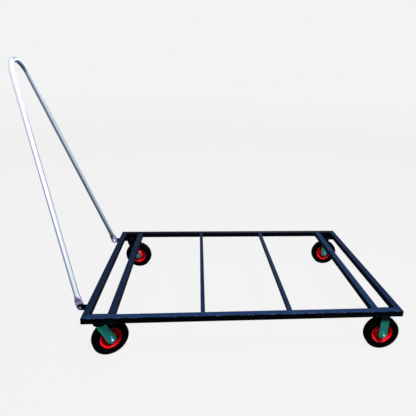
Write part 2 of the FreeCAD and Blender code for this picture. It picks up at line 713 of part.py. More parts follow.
place_rails()
handle_ear("handle_ear_left", "-")
handle_ear("handle_ear_right", "")
handle_tube()
pivot_hardware()
build_casters()
doc.recompute()

# ------------------------------------------------------------------- check and export
for thing in doc.Objects:
    if "Invalid" in thing.State or "Error" in thing.State:
        raise ValueError("%s failed: %s" % (thing.Label, thing.State))
for node in nodes:
    if node.Shape.isNull() or not node.Shape.isValid():
        raise ValueError("%s has no valid shape" % node.Label)
os.makedirs("parts", exist_ok=True)
for node in nodes:
    node.Shape.exportStep("parts/%s.step" % node.Label)
print("%d nodes written" % len(nodes))
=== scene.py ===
import json
import math

import bmesh
import bpy
import numpy as np
from mathutils import Matrix, Vector


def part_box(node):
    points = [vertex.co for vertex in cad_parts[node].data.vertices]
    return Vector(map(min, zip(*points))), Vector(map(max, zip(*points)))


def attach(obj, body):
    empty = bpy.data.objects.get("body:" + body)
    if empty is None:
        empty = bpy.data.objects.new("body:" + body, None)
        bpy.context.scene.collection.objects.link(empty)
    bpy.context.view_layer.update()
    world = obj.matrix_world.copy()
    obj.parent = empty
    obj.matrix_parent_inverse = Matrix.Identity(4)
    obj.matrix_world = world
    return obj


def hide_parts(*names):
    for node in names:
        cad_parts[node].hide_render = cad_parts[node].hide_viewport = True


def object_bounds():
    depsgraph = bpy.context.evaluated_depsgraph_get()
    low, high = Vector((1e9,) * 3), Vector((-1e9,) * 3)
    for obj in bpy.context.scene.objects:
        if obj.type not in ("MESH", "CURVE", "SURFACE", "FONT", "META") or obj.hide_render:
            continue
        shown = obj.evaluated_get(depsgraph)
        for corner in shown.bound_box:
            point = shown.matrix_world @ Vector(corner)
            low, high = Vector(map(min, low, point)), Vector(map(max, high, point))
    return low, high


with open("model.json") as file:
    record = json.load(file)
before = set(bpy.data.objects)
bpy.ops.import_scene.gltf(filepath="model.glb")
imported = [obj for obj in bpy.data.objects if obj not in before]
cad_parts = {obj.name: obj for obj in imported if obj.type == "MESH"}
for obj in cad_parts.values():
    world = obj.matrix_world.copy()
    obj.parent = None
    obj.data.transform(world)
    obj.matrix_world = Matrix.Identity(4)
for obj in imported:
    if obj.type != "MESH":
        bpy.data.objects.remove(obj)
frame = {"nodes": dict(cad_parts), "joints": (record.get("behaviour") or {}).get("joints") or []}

cad_low, cad_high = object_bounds()
left_rail_low, left_rail_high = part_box("side_rail_left")
joints = {joint["name"]: joint for joint in frame["joints"]}

# ------------------------------------------------------------------------------ camera
# Someone stands by the middle of the left side rail, their eyes about 1.5 m above the
# floor, and looks a little down across the frame with a moderately wide lens.
deck_middle = Vector(((left_rail_low[0] + left_rail_high[0]) / 2, 0, left_rail_high[2]))
camera_data = bpy.data.cameras.new("camera")
camera_data.sensor_width = 36
camera_data.lens = 32.69
camera_data.shift_x = -0.0536
camera_data.shift_y = -0.0189
camera_data.clip_end = 100
camera = bpy.data.objects.new("camera", camera_data)
bpy.context.scene.collection.objects.link(camera)
bpy.context.scene.camera = camera
heading, pitch, roll = math.radians(-5.15), math.radians(17.82), math.radians(1.7)
back = Vector((math.sin(heading) * math.cos(pitch), -math.cos(heading) * math.cos(pitch), math.sin(pitch)))
sideways = Vector((math.cos(heading), math.sin(heading), 0))
upright = back.cross(sideways)
camera_right = sideways * math.cos(roll) + upright * math.sin(roll)
camera_up = upright * math.cos(roll) - sideways * math.sin(roll)
camera.matrix_world = Matrix((camera_right, camera_up, back)).transposed().to_4x4()
from_deck = Vector((-0.2806, -2.4144, 1.2581))
camera.location = deck_middle + from_deck

# ---------------------------------------------------------------------- platform frame
# The rails and cross members are cold-rolled square steel tube with small corner radii,
# and the two cross bars are a thinner section of the same.  The outer four are mitred and
# welded into a rectangle, the rest butt against it, and all of it is sprayed navy blue.


def rounded_square(side, corner, arc_steps=6):
    """Section of a square tube: quarter circles at the corners, joined by flats.

    Returns the points anticlockwise, the first repeated last, and for each a number that
    is 1 on the corner arcs and 0 on the flats.
    """
    turn = np.linspace(0, np.pi / 2, arc_steps + 1)
    flat = np.array([0.12, 0.5, 0.88])
    inner = side / 2 - corner
    centres = inner * np.array([(1, 1), (-1, 1), (-1, -1), (1, -1), (1, 1)])
    points, nearness = [], []
    for quarter, (centre, ahead) in enumerate(zip(centres, centres[1:])):
        angle = turn + quarter * np.pi / 2
        arc = centre + corner * np.stack([np.cos(angle), np.sin(angle)], axis=1)
        points += [arc, arc[-1] + flat[:, None] * (ahead - centre)]
        nearness += [np.ones(len(arc)), np.zeros(len(flat))]
    points = np.concatenate(points)
    nearness = np.concatenate(nearness)
    return np.vstack([points, points[:1]]), np.append(nearness, nearness[0])


def straight_tube(node, corner, mitre, along, inward):
    """Grid of a tube's outside: its section carried along its length.

    The two ends lie at half the length, less the mitre's share of how far a point of the
    section stands towards the inside of the frame.  along and inward are unit vectors.
    """
    low, high = (np.array(end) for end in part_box(node))
    along, inward, up = np.array(along), np.array(inward), np.array([0.0, 0.0, 1.0])
    side = high[2] - low[2]
    half_length = abs(np.dot(high - low, along)) / 2
    section, nearness = rounded_square(side, corner)
    reach = half_length - mitre * (side / 2 + section[:, 0])
    stations = np.linspace(-1, 1, 13)
    points = ((low + high) / 2 + section[:, :1] * inward + section[:, 1:] * up)[None]
    points = points + stations[:, None, None] * reach[None, :, None] * along
    return points, {"corner": np.tile(nearness, (len(stations), 1))}


def build(name, grids, material, body, nodes=(), values=None, crease=40.0, capped=False):
    """Make one closed mesh from grids of points, and let it ride on a body.

    Each row of a grid joins the next, and so does each column, and the first and last
    rows may be capped.  values holds the point values that the material reads.  A grid
    whose volume comes out negative is turned.  The UV map holds metres, u from row to row
    and v from column to column.  Equal points are merged at the end, which closes seams.
    """
    spots, faces, metres = [], [], []
    layers = {"corner": [], "depth": [], "chalk": []}
    count = 0
    for points in grids:
        rows, columns = points.shape[:2]
        index = np.arange(rows * columns).reshape(rows, columns)
        quads = np.stack([index[:-1, :-1], index[:-1, 1:], index[1:, 1:], index[1:, :-1]],
                         axis=-1).reshape(-1, 4)
        polygons = quads.tolist()
        if capped:
            polygons += [index[0, :-1][::-1].tolist(), index[-1, :-1].tolist()]
        flat = points.reshape(-1, 3)
        centred = flat - flat.mean(axis=0)
        a, b, c, d = (centred[quads[:, k]] for k in range(4))
        volume = np.einsum("ij,ij->", a, np.cross(b, c)) + np.einsum("ij,ij->", a, np.cross(c, d))
        if volume < 0:
            polygons = [polygon[::-1] for polygon in polygons]
        faces += [[corner + count for corner in polygon] for polygon in polygons]
        count += len(flat)
        step_u = np.linalg.norm(np.diff(points, axis=0), axis=2).mean(axis=1)
        step_v = np.linalg.norm(np.diff(points, axis=1), axis=2).max(axis=0)
        along_u = np.concatenate([[0], np.cumsum(step_u)])
        along_v = np.concatenate([[0], np.cumsum(step_v)])
        metres.append(np.stack(np.meshgrid(along_u, along_v, indexing="ij"), axis=-1).reshape(-1, 2))
        spots.append(flat)
        for key, layer in layers.items():
            layer.append(np.broadcast_to((values or {}).get(key, 0.0), (rows, columns)).reshape(-1))
    mesh = bpy.data.meshes.new(name)
    mesh.from_pydata(np.concatenate(spots).tolist(), [], faces)
    owner = np.empty(len(mesh.loops), dtype=np.int32)
    mesh.loops.foreach_get("vertex_index", owner)
    mesh.uv_layers.new(name="metres").data.foreach_set("uv", np.concatenate(metres)[owner].reshape(-1))
    for key, layer in layers.items():
        attribute = mesh.attributes.new(key, "FLOAT", "POINT")
        attribute.data.foreach_set("value", np.concatenate(layer).astype(np.float32))
    merged = bmesh.new()
    merged.from_mesh(mesh)
    bmesh.ops.remove_doubles(merged, verts=merged.verts, dist=1e-6)
    merged.to_mesh(mesh)
    merged.free()
    mesh.shade_smooth()
    mesh.set_sharp_from_angle(angle=math.radians(crease))
    mesh.materials.append(material)
    piece = bpy.data.objects.new(name, mesh)
    bpy.context.scene.collection.objects.link(piece)
    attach(piece, body)
    if nodes:
        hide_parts(*nodes)


def srgb(code):
    """Linear red, green and blue of an sRGB hex colour, by the standard's two-part curve."""
    channels = [int(code[i:i + 2], 16) / 255 for i in (1, 3, 5)]
    return [c / 12.92 if c <= 0.04045 else ((c + 0.055) / 1.055) ** 2.4 for c in channels] + [1.0]


def feed(tree, node, links):
    """Link what comes in to the named inputs of a node."""
    for key, source in links.items():
        tree.links.new(source, node.inputs[key])


def add_node(tree, kind, settings=None, links=None):
    """Add a node and return its outputs.

    kind is its type after the word ShaderNode, settings are its own properties or input
    values, and links are what feeds its inputs.
    """
    new = tree.nodes.new("ShaderNode" + kind)
    for key, value in (settings or {}).items():
        if isinstance(key, str) and hasattr(new, key):
            setattr(new, key, value)
        else:
            new.inputs[key].default_value = value
    feed(tree, new, links or {})
    return new.outputs


def start_material(name, uniform):
    """A new material with a Principled shader, whose uniform values sit on its own sockets."""
    material = bpy.data.materials.new(name)
    material.use_nodes = True
    tree = material.node_tree
    shader = tree.nodes["Principled BSDF"]
    for socket, value in uniform.items():
        shader.inputs[socket].default_value = value
    return material, tree, shader


def navy_enamel():
    """Alkyd enamel sprayed over steel: near black and glossy, with painted light from above that
    makes upward faces lighter blue and duller, corners rubbed thin and painted lighter as a glint, and a fine
    orange peel."""
    material, tree, shader = start_material("navy_enamel_sprayed_on_steel",
                                            {"IOR": 1.5, "Specular IOR Level": 0.03})
    place = add_node(tree, "TexCoord")
    facing = add_node(tree, "NewGeometry")["Normal"]
    upward = add_node(tree, "SeparateXYZ", links={0: facing})["Z"]
    # Painted light from above: the more a face turns up, the lighter blue it is painted, scaled by each
    # piece's share.
    painted_top_light = add_node(tree, "MapRange", {"From Min": 0.6, "From Max": 0.97}, {"Value": upward})[0]
    chalk = add_node(tree, "Attribute", {"attribute_name": "chalk"})["Fac"]
    painted_top_light = add_node(tree, "Math", {"operation": "MULTIPLY"}, {0: painted_top_light, 1: chalk})[0]
    cloud = add_node(tree, "TexNoise", {"Scale": 7.0, "Detail": 4.0, "Roughness": 0.55},
                     {"Vector": place["Object"]})[0]
    stretched = add_node(tree, "Mapping", {"Scale": (3.0, 260.0, 1.0)}, {"Vector": place["UV"]})[0]
    rubbed = add_node(tree, "TexNoise", {"Scale": 1.0, "Detail": 5.0, "Roughness": 0.6},
                      {"Vector": stretched})[0]
    # Shaded sides and lit tops of the same enamel, painted as two colours.
    shaded_side_colour = add_node(tree, "Mix", {"data_type": "RGBA", 6: srgb("#010203"), 7: srgb("#020407")}, {0: cloud})[2]
    lit_top_colour = add_node(tree, "Mix", {"data_type": "RGBA", 6: srgb("#0b1c37"), 7: srgb("#172f56")},
                     {0: rubbed})[2]
    tone = add_node(tree, "Mix", {"data_type": "RGBA"}, {0: painted_top_light, 6: shaded_side_colour, 7: lit_top_colour})[2]
    # Worn corners and painted glint: speckled lighter patches on the corners, only where top light is
    # painted.
    corner = add_node(tree, "Attribute", {"attribute_name": "corner"})["Fac"]
    speckle = add_node(tree, "TexNoise", {"Scale": 60.0, "Detail": 6.0, "Roughness": 0.7},
                       {"Vector": place["Object"]})[0]
    worn = add_node(tree, "MapRange", {"From Min": 0.5, "From Max": 0.64}, {"Value": speckle})[0]
    edge_wear_and_glint = add_node(tree, "Math", {"operation": "MULTIPLY"}, {0: worn, 1: corner})[0]
    edge_wear_and_glint = add_node(tree, "Math", {"operation": "MULTIPLY"}, {0: edge_wear_and_glint, 1: chalk})[0]
    edge_wear_and_glint = add_node(tree, "Math", {"operation": "MULTIPLY", 1: 0.7}, {0: edge_wear_and_glint})[0]
    tone = add_node(tree, "Mix", {"data_type": "RGBA", 7: srgb("#46588a")}, {0: edge_wear_and_glint, 6: tone})[2]
    dull = add_node(tree, "MapRange", {"To Min": 0.3, "To Max": 0.52}, {"Value": cloud})[0]
    dull = add_node(tree, "Math", {"operation": "MULTIPLY_ADD", 1: 0.12}, {0: painted_top_light, 2: dull})[0]
    # Real orange peel has 1 to 2 mm cells; it is drawn at 4 mm so that it shows.
    peel = add_node(tree, "TexNoise", {"Scale": 250.0, "Detail": 2.0}, {"Vector": place["Object"]})[0]
    relief = add_node(tree, "Bump", {"Strength": 0.12, "Distance": 0.0006}, {"Height": peel})[0]
    feed(tree, shader, {"Base Color": tone, "Roughness": dull, "Normal": relief})
    return material


navy = navy_enamel()
x_axis, y_axis = (1.0, 0.0, 0.0), (0.0, 1.0, 0.0)
rail_corner, bar_corner = 0.003, 0.002
# Each tube: its corner radius, whether it is mitred, its length's direction, the direction
# into the frame, and how strongly its top is painted lighter as painted light from above.
tubes = [("side_rail_left", rail_corner, 1, x_axis, y_axis, 1.0),
         ("side_rail_right", rail_corner, 1, x_axis, (0.0, -1.0, 0.0), 0.15),
         ("end_rail_front", rail_corner, 1, y_axis, x_axis, 0.36),
         ("end_rail_rear", rail_corner, 1, y_axis, (-1.0, 0.0, 0.0), 0.5),
         ("cross_member_front", rail_corner, 0, y_axis, x_axis, 0.42),
         ("cross_member_rear", rail_corner, 0, y_axis, x_axis, 0.9),
         ("cross_bar_front", bar_corner, 0, y_axis, x_axis, 0.5),
         ("cross_bar_rear", bar_corner, 0, y_axis, x_axis, 0.6)]
for node, corner, mitre, along, inward, chalk in tubes:
    grid, extra = straight_tube(node, corner, mitre, along, inward)
    extra["chalk"] = chalk
    build(node + "_painted", [grid], navy, "frame", [node], extra, capped=True)

# -------------------------------------------------------------------------- weld beads
# Every joint is MIG welded: a rippled bead down each side and under each butt joint, in
# the inside corners of the mitres and round the ears.  The beads are painted with the tube.


def bead(start, end, radius, ripple=0.0035):
    """Grid of a weld bead: a circle carried from start to end, its radius swelling and
    shrinking once per ripple with a small drift, and closing to a point at both ends."""
    start, end = np.array(start, float), np.array(end, float)
    length = np.linalg.norm(end - start)
    along = (end - start) / length
    askew = [0.31, 0.52, 0.79]
    side = np.cross(along, askew)
    side /= np.linalg.norm(side)
    other = np.cross(along, side)
    distance = np.linspace(0, length, max(12, int(length / ripple * 6)))
    swell = 1 + 0.16 * np.abs(np.sin(np.pi * distance / ripple)) + 0.07 * np.sin(31.0 * distance / length)
    fade = np.sqrt(np.clip(np.minimum(distance, length - distance) / radius, 0, 1))
    reach = radius * swell * fade
    angle = np.linspace(0, 2 * np.pi, 11)
    ring = np.cos(angle)[:, None] * side + np.sin(angle)[:, None] * other
    return start + distance[:, None, None] * along + reach[:, None, None] * ring[None]


def butt_beads(node):
    """Beads of a member that butts between the side rails, round all four sides of each end."""
    low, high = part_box(node)
    top = high[2] - ground_low
    found = []
    for y, into in ((low[1], 1), (high[1], -1)):
        y += into * stand_off
        for x in (low[0], high[0]):
            found.append(bead((x, y, low[2]), (x, y, high[2] - end_short), fillet_bead))
        found.append(bead((low[0], y, low[2]), (high[0], y, low[2]), fillet_bead))
        found.append(bead((low[0] + end_short, y, top), (high[0] - end_short, y, top), ground_bead))
    return found


# The beads' radii, how far they stand off the rail, how low those on top are ground, how
# high those beneath are sunk, and how short of an edge a bead stops.
fillet_bead, ground_bead, mitre_bead, plate_bead = 0.0028, 0.0019, 0.003, 0.0024
stand_off, ground_low, sunk_in, end_short = 0.0008, 0.0014, 0.0006, 0.002
beads = []
for node in ("cross_member_front", "cross_member_rear", "cross_bar_front", "cross_bar_rear"):
    beads += butt_beads(node)
rail = left_rail_high[2] - left_rail_low[2]
ends = {"front": left_rail_low[0], "rear": left_rail_high[0]}
for end, face in ends.items():
    inward_x = 1 if end == "front" else -1
    for side in (-1, 1):
        outer_y = side * cad_high[1]
        inner_x, inner_y = face + inward_x * rail, outer_y - side * rail
        beads.append(bead((inner_x, inner_y, left_rail_low[2]),
                          (inner_x, inner_y, left_rail_high[2] - end_short), mitre_bead))
        outer_corner = (face + inward_x * rail_corner, outer_y - side * rail_corner)
        for z in (left_rail_high[2] - ground_low, left_rail_low[2] + sunk_in):
            beads.append(bead((*outer_corner, z), (inner_x, inner_y, z), ground_bead))
ear_low, ear_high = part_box("handle_ear_left")
ear_root = ends["front"] + 0.0003
for side in (-1, 1):
    for y in (-side * ear_low[1], -side * ear_high[1]):
        beads.append(bead((ear_root, y, ear_low[2]), (ear_root, y, ear_high[2]), fillet_bead))
for node in ("swivel_plate_left", "swivel_plate_right", "fixed_plate_left", "fixed_plate_right"):
    low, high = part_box(node)
    outer_y = max(low[1], high[1], key=abs)
    beads.append(bead((low[0] + 0.01, outer_y, high[2]), (high[0] - 0.01, outer_y, high[2]), plate_bead))
# The beads take part of the painted top light and of the corners' painted glint and wear.
build("weld_beads", beads, navy, "frame", values={"corner": 0.3, "chalk": 0.45})

# ------------------------------------------------------------------------ caster plates
# Stock pressed top plates of the casters, 6 mm steel with slotted bolt holes, welded
# under the rails at each corner and painted over with them.
for node in ("swivel_plate_left", "swivel_plate_right", "fixed_plate_left", "fixed_plate_right"):
    frame["nodes"][node].material_slots[0].material = navy

# ----------------------------------------------------------------------- handle ears
# Two short lugs of 6 mm flat bar with a rounded nose, sheared edges slightly broken,
# welded square to the front end rail and painted with it.


def bored_plate(outline, bore, thickness, bevel):
    """Grid of a plate with one round hole, as a ring of sections round the hole.

    Each section runs from the hole's edge out to the outline and back on the other face,
    with its corners cut by the bevel.  outline holds, for each angle, the distance from
    the hole's centre.  X and Z lie in the plate and Y goes through it.
    """
    angle, distance = outline
    half = thickness / 2
    steps = [(0, bevel, -half), (0, 0, -half + bevel), (0, 0, half - bevel), (0, bevel, half), (0.5, 0, half),
             (1, -bevel, half), (1, 0, half - bevel), (1, 0, -half + bevel), (1, -bevel, -half),
             (0.5, 0, -half), (0, bevel, -half)]
    share, shift, depth = (np.array(column)[:, None] for column in zip(*steps))
    reach = bore + share * (distance - bore) + shift
    return np.stack([reach * np.cos(angle), depth + np.zeros_like(reach), reach * np.sin(angle)], axis=-1)


pivot = np.array(joints["handle_fold"]["pos_m"])
ear_bore, broken_edge = 0.00505, 0.0007
for node in ("handle_ear_left", "handle_ear_right"):
    low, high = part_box(node)
    half_height = (high[2] - low[2]) / 2
    reach = high[0] - pivot[0]
    corner_angle = math.atan2(half_height, reach)
    angle = np.concatenate([np.linspace(-corner_angle, corner_angle, 5),
                            np.linspace(corner_angle, np.pi / 2, 8)[1:],
                            np.linspace(np.pi / 2, 3 * np.pi / 2, 33)[1:],
                            np.linspace(3 * np.pi / 2, 2 * np.pi - corner_angle, 8)[1:]])
    with np.errstate(divide="ignore"):
        square = np.minimum(half_height / np.maximum(np.abs(np.sin(angle)), 1e-9),
                            reach / np.maximum(np.cos(angle), 1e-9))
    distance = np.where(np.cos(angle) > 0, square, half_height)
    grid = bored_plate((angle, distance), ear_bore, high[1] - low[1], broken_edge)
    grid = grid + np.array([pivot[0], (low[1] + high[1]) / 2, pivot[2]])
    rim = np.array([0.6, 0, 0, 0.6, 0, 1, 1, 1, 1, 0, 0.6])[:, None]
    build(node + "_painted", [grid], navy, "frame", [node], {"corner": rim}, 30)

# -------------------------------------------------------------------------- tow handle
# One length of 30 mm round steel tube, bent to a hairpin and zinc plated bright.  Its two
# ends are pressed flat between the ears, cut round and drilled for the pivot bolts.


def handle_grid():
    """Grid of the handle: a superellipse carried from one flattened tip round to the other.

    Drawn upright, with the pivots on Y.  The path is the tab's straight, the straight leg,
    and the loop's circle, mirrored.  Across the neck the half width falls from the tab's to
    the tube's and the half thickness rises, both by a smooth step, while the exponent
    falls from nearly square to round.  At the tip the half width follows a circle.
    """
    tube, bend = 0.015, 0.104
    half_tab, half_sheet, tip, tab_top, neck = 0.023, 0.0025, 0.019, 0.026, 0.078
    low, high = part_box("handle_tube")
    out, up = pivot[0] - (low[0] + tube), high[2] - tube - pivot[2]
    lean = math.atan2(out, up)
    offset = high[1] - half_sheet
    centre = math.hypot(out, up) - bend
    slant = math.atan2(offset, centre - tab_top) - math.asin(bend / math.hypot(offset, centre - tab_top))
    turn = np.linspace(0, np.pi / 2, 14)
    tip_z = half_tab - tip - half_tab * np.cos(turn)
    straight = np.linspace(half_tab - tip, tab_top, 6)[1:]
    blend = np.linspace(tab_top, neck, 30)[1:]
    touch_z = centre + bend * math.sin(slant)
    shaft = np.linspace(neck, touch_z, 60)[1:]
    z = np.concatenate([tip_z, straight, blend, shaft])
    y = offset - np.maximum(z - tab_top, 0) * math.tan(slant)
    half_width = np.where(z < half_tab - tip,
                          np.sqrt(np.clip(half_tab**2 - (z - half_tab + tip) ** 2, 0, None)), half_tab)
    step = np.clip((z - tab_top) / (neck - tab_top), 0, 1)
    step = step * step * (3 - 2 * step)
    half_width = half_width + (tube - half_tab) * step
    half_thick = half_sheet + (tube - half_sheet) * np.sin(step * np.pi / 2)
    power = 6 - 4 * step ** 0.6
    lean_in = np.where(z > tab_top, slant, 0) * np.clip((z - tab_top) / 0.02, 0, 1)
    sweep = np.linspace(slant, np.pi - slant, 49)[1:-1]
    y = np.concatenate([y, bend * np.cos(sweep), -y[::-1]])
    z = np.concatenate([z, centre + bend * np.sin(sweep), z[::-1]])
    outward = np.concatenate([lean_in, sweep, np.pi - lean_in[::-1]])
    half_width, half_thick, power = (np.concatenate([part, np.full(len(sweep), part[-1]), part[::-1]])
                                     for part in (half_width, half_thick, power))
    angle = np.linspace(0, 2 * np.pi, 49)
    wide, thick = np.cos(angle), np.sin(angle)
    across = half_width[:, None] * np.sign(wide) * np.abs(wide) ** (2 / power[:, None])
    through = half_thick[:, None] * np.sign(thick) * np.abs(thick) ** (2 / power[:, None])
    points = np.stack([across, y[:, None] + through * np.cos(outward)[:, None],
                       z[:, None] + through * np.sin(outward)[:, None]], axis=-1)
    tilt = np.array([[math.cos(lean), 0, -math.sin(lean)], [0, 1, 0], [math.sin(lean), 0, math.cos(lean)]])
    return points @ tilt.T + pivot


def bright_zinc(name, colour, rough, drawn):
    """Bright zinc plate over steel: a cool silver mirror blurred by faint lines left by
    drawing and polishing, with soft cloudy patches of duller plate."""
    material, tree, shader = start_material(name, {"Metallic": 1.0})
    place = add_node(tree, "TexCoord")
    lines = add_node(tree, "Mapping", {"Scale": drawn}, {"Vector": place["UV"]})[0]
    streak = add_node(tree, "TexNoise", {"Scale": 1.0, "Detail": 4.0}, {"Vector": lines})[0]
    patch = add_node(tree, "TexNoise", {"Scale": 24.0, "Detail": 3.0}, {"Vector": place["Object"]})[0]
    mixed = add_node(tree, "Mix", {"data_type": "RGBA", 6: srgb(colour[0]), 7: srgb(colour[1])},
                     {0: patch})[2]
    haze = add_node(tree, "Math", {"operation": "ADD"}, {0: streak, 1: patch})[0]
    haze = add_node(tree, "MapRange", {"From Min": 0.7, "From Max": 1.3, "To Min": rough[0],
                                       "To Max": rough[1]}, {"Value": haze})[0]
    relief = add_node(tree, "Bump", {"Strength": 0.06, "Distance": 0.0004}, {"Height": streak})[0]
    feed(tree, shader, {"Base Color": mixed, "Roughness": haze, "Normal": relief})
    return material


handle_zinc = bright_zinc("bright_zinc_plated_handle_tube", ("#eff2f7", "#d8ddea"), (0.16, 0.28),
                          (8.0, 700.0, 1.0))
build("tow_handle_tube", [handle_grid()], handle_zinc, "handle", ["handle_tube"], crease=50)

# ---------------------------------------------------------------------- pivot hardware
# An M10 hexagon bolt through each ear and flattened tab, with a flat washer and a nut on
# the inside, all bright zinc plated.


def soften(corners, radius, closed, steps=5):
    """Round each corner of a path by a parabola between the points one radius away on its
    two edges, or less where an edge is short.  Open ends stay where they are."""
    corners = np.array(corners, float)
    radius = np.broadcast_to(np.array(radius, float), len(corners))
    before, after = np.roll(corners, 1, axis=0), np.roll(corners, -1, axis=0)
    to_before, to_after = before - corners, after - corners
    len_before = np.linalg.norm(to_before, axis=1)
    len_after = np.linalg.norm(to_after, axis=1)
    cut = np.minimum(radius, 0.48 * np.minimum(len_before, len_after))
    if not closed:
        cut[0] = cut[-1] = 0
    start = corners + to_before / len_before[:, None] * cut[:, None]
    end = corners + to_after / len_after[:, None] * cut[:, None]
    t = np.linspace(0, 1, steps)[None, :, None]
    curve = (1 - t) ** 2 * start[:, None] + 2 * t * (1 - t) * corners[:, None] + t**2 * end[:, None]
    path = curve.reshape(-1, corners.shape[1])
    return np.vstack([path, path[:1]]) if closed else path


def turned(profile, steps=48, sides=0):
    """Grid of a shape turned about Y from a profile of radius and Y.

    With sides given, radii beyond the across-flats half width are cut to that polygon.
    """
    angle = np.linspace(0, 2 * np.pi, steps + 1)
    radius = np.repeat(profile[:, :1], len(angle), axis=1)
    if sides:
        sector = 2 * np.pi / sides
        off = (angle + sector / 2) % sector - sector / 2
        inscribed = profile[:, 0].max() * math.cos(sector / 2)
        radius = np.minimum(radius, (inscribed / np.cos(off))[None])
    height = np.repeat(profile[:, 1:], len(angle), axis=1)
    return np.stack([radius * np.sin(angle), height, radius * np.cos(angle)], axis=-1)


def hexagon_profile(flats, low, high, cut_low, cut_high):
    """Profile of a hexagon head or nut: to its corners, each face that is cut sloping back to it."""
    corner = flats / 2 / math.cos(math.pi / 6)
    points = [(0, low), (corner - cut_low, low), (corner, low + 0.55 * cut_low),
              (corner, high - 0.55 * cut_high), (corner - cut_high, high), (0, high)]
    distinct = [points[0]] + [here for before,
                              here in zip(points, points[1:]) if math.dist(before, here) > 1e-6]
    return soften(distinct, 0.0004, False)


def thread_profile(radius, low, high, pitch):
    """Profile of a threaded end as seen from the side: one V groove per pitch, a chamfered tip at high."""
    turns = max(2, int((high - low - radius * 0.2) / pitch))
    y = np.linspace(low, high - radius * 0.2, 2 * turns + 1)
    r = radius - 0.5 * pitch * (np.arange(len(y)) % 2)
    body = np.stack([r, y], axis=1)
    return np.vstack([[0, low], body, [radius * 0.8, high], [0, high]])


def seat(grid, origin, right, out):
    """Move a grid from its own axes into the frame: X to right, Y to out, Z up."""
    basis = np.array([right, out, (0.0, 0.0, 1.0)])
    return grid @ basis + np.array(origin)


bolt_zinc = bright_zinc("bright_zinc_plated_fastener", ("#d2e8ff", "#93b7e2"), (0.12, 0.28),
                        (60.0, 60.0, 1.0))
bolt_end, washer_out = (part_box(node)[1][1] for node in ("pivot_bolts", "pivot_washers"))
bolt_radius, bolt_flats, bolt_pitch = 0.005, 0.017, 0.0015
head_height, nut_height, bolt_tail = 0.0064, 0.008, 0.003
washer_bore, washer_rim, washer_thick = 0.0051, 0.0105, 0.002
head_face = bolt_end - head_height
washer_in = washer_out - washer_thick
nut_in = washer_in - nut_height
head = turned(hexagon_profile(bolt_flats, head_face, bolt_end, 0.0, 0.0012), 48, 6)
shank = turned(thread_profile(bolt_radius, -head_face, -nut_in + bolt_tail, bolt_pitch) * [1, -1], 32)
nut = turned(hexagon_profile(bolt_flats, nut_in, washer_in, 0.001, 0.001), 48, 6)
ring = soften([(washer_bore, washer_in), (washer_bore, washer_out), (washer_rim, washer_out),
               (washer_rim, washer_in)], 0.0004, True)
bolt_parts, nut_parts, washer_parts = [], [], []
for side in (-1, 1):
    origin, out = (pivot[0], 0, pivot[2]), (0.0, float(side), 0.0)
    bolt_parts += [seat(part, origin, x_axis, out) for part in (head, shank)]
    nut_parts.append(seat(nut, origin, x_axis, out))
    washer_parts.append(seat(turned(ring, 40), origin, x_axis, out))
for name, parts, node in (("pivot_bolt_pair", bolt_parts, "pivot_bolts"),
                          ("pivot_nut_pair", nut_parts, "pivot_nuts"),
                          ("pivot_washer_pair", washer_parts, "pivot_washers")):
    build(name, parts, bolt_zinc, "frame", [node], crease=25)

# ------------------------------------------------------------------------ swivel heads
# Under each front plate sits a pressed steel cup with a hardened ring, on which loose balls
# run, and a riveted kingpin carries the fork.  The cup is painted with the plate.
bearing_steel = bright_zinc("ground_bearing_steel", ("#b9bcc2", "#8f949c"), (0.15, 0.3), (60.0, 60.0, 1.0))
cup_sheet, cup_bore = 0.003, 0.0081
pin_radius, pin_head, pin_head_height, pin_chamfer = 0.008, 0.012, 0.005, 0.0005
for side_name in ("left", "right"):
    low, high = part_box("ball_race_" + side_name)
    middle = ((low[0] + high[0]) / 2, (low[1] + high[1]) / 2, 0)
    radius, height = (high[0] - low[0]) / 2, high[2] - low[2]
    inside, roof = radius - cup_sheet, height - cup_sheet
    cup = soften([(cup_bore, height), (radius - 0.004, height), (radius, height - 0.005), (radius, 0),
                  (inside, 0), (inside, roof), (cup_bore, roof)],
                 [0.0005, 0.006, 0.004, 0.001, 0.001, 0.003, 0.0005], True)
    grid = turned(cup, 64)[..., [0, 2, 1]] + np.array([middle[0], middle[1], low[2]])
    build("ball_race_cup_" + side_name, [grid], navy, "frame", ["ball_race_" + side_name])
    bottom, top = (end[2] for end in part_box("kingpin_" + side_name))
    pin = soften([(0, bottom), (pin_radius, bottom), (pin_head, bottom + 0.002),
                  (pin_head, bottom + pin_head_height), (pin_radius, bottom + pin_head_height),
                  (pin_radius, top - pin_chamfer), (pin_radius - 3 * pin_chamfer, top), (0, top)], 0.0015,
                 False)
    grid = turned(pin, 40)[..., [0, 2, 1]] + np.array(middle)
    build("riveted_kingpin_" + side_name, [grid], bearing_steel, "frame",
          ["kingpin_" + side_name])
    for node in ("race_balls_", "race_ring_"):
        frame["nodes"][node + side_name].material_slots[0].material = bearing_steel
